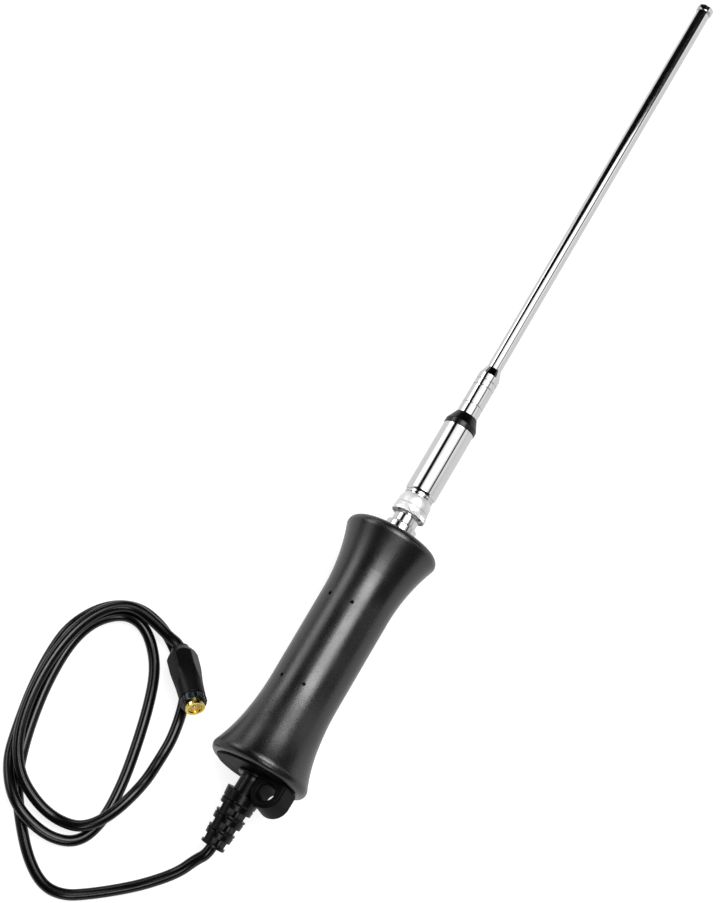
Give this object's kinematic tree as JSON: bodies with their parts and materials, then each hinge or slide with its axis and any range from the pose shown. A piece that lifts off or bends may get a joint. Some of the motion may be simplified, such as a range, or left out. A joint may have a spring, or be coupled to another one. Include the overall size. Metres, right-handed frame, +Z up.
{
  "type": "hand-held telescopic whip antenna",
  "caption": "Hand-held long-range antenna: hourglass grip, bayonet-locked base, telescopic whip, lanyard eye and a looped coaxial lead with a screw plug.",
  "frame": {"origin": "middle of the bottom of the box that the grip, antenna and end cap fill, without the lead, its strain relief and its plug", "axes": "+X along the antenna towards the whip's tip, +Z up from the table that the grip lies on, the lead loops on the +Y side"},
  "size_m": [0.4975, 0.1321, 0.0451],
  "materials": {
    "grip_rubber": "fine satin texture",
    "black_rubber": "semi-gloss",
    "lead_jacket": "glossy jacket",
    "lead_inside": "glossy jacket",
    "plug_rubber": "semi-gloss",
    "black_plastic": "satin",
    "core_plastic": "matt",
    "chrome": "polished",
    "nickel": "bright plated",
    "knurled_chrome": "fine knurl",
    "ptfe": "waxy white",
    "gold": "gold plated",
    "silicone": "satin",
    "copper_coil": "enamelled wire",
    "dark_metal": "satin black"
  },
  "bodies": {
    "grip": {"grip_shell": "grip_rubber", "grip_core": "core_plastic", "end_cap": "black_rubber", "strain_relief": "black_rubber", "relief_lead": "lead_inside", "inner_lead": "lead_inside", "lead_crimp": "nickel", "lead": "lead_jacket", "jack_body": "nickel", "jack_washer": "nickel", "jack_nut": "nickel", "jack_insulator": "ptfe", "jack_contact": "gold", "plug_body": "plug_rubber", "plug_crimp": "nickel", "contact_shell": "gold", "plug_insulator": "ptfe", "plug_pin": "gold"},
    "bayonet": {"bayonet_nut": "knurled_chrome"},
    "antenna": {"bnc_plug_shell": "chrome", "bnc_gasket": "silicone", "bnc_plug_insulator": "ptfe", "bnc_plug_pin": "gold", "base_tube": "chrome", "coil_former": "core_plastic", "loading_coil": "copper_coil", "base_collar": "black_plastic", "whip_ferrule": "chrome", "whip_section_1": "chrome"},
    "coupling": {"coupling_ring": "dark_metal", "coupling_nut": "gold"},
    "section_2": {"whip_section_2": "chrome", "contact_sleeve_2": "nickel"},
    "section_3": {"whip_section_3": "chrome", "contact_sleeve_3": "nickel"},
    "section_4": {"whip_section_4": "chrome", "contact_sleeve_4": "nickel"},
    "section_5": {"whip_section_5": "chrome", "contact_sleeve_5": "nickel"},
    "section_6": {"whip_section_6": "chrome", "contact_sleeve_6": "nickel", "tip_cap": "chrome"}
  },
  "joints": [
    {"name": "bayonet_turn", "type": "hinge", "parent": "grip", "child": "bayonet", "pos_m": [-0.062, 0, 0.02255], "axis": [1, 0, 0], "range_deg": [0, 85]},
    {"name": "antenna_turn", "type": "hinge", "parent": "grip", "child": "antenna", "pos_m": [-0.062, 0, 0.02255], "axis": [1, 0, 0], "continuous": true},
    {"name": "coupling_turn", "type": "hinge", "parent": "grip", "child": "coupling", "pos_m": [-0.18473, 0.03964, 0.01869], "axis": [-0.6817, -0.6591, 0.3175], "continuous": true},
    {"name": "section_2_slide", "type": "slide", "parent": "antenna", "child": "section_2", "axis": [1, 0, 0], "range_m": [0, 0.1796]},
    {"name": "section_3_slide", "type": "slide", "parent": "section_2", "child": "section_3", "axis": [1, 0, 0], "range_m": [0, 0.1781]},
    {"name": "section_4_slide", "type": "slide", "parent": "section_3", "child": "section_4", "axis": [1, 0, 0], "range_m": [0, 0.1766]},
    {"name": "section_5_slide", "type": "slide", "parent": "section_4", "child": "section_5", "axis": [1, 0, 0], "range_m": [0, 0.1751]},
    {"name": "section_6_slide", "type": "slide", "parent": "section_5", "child": "section_6", "axis": [1, 0, 0], "range_m": [0, 0.1736]}
  ]
}
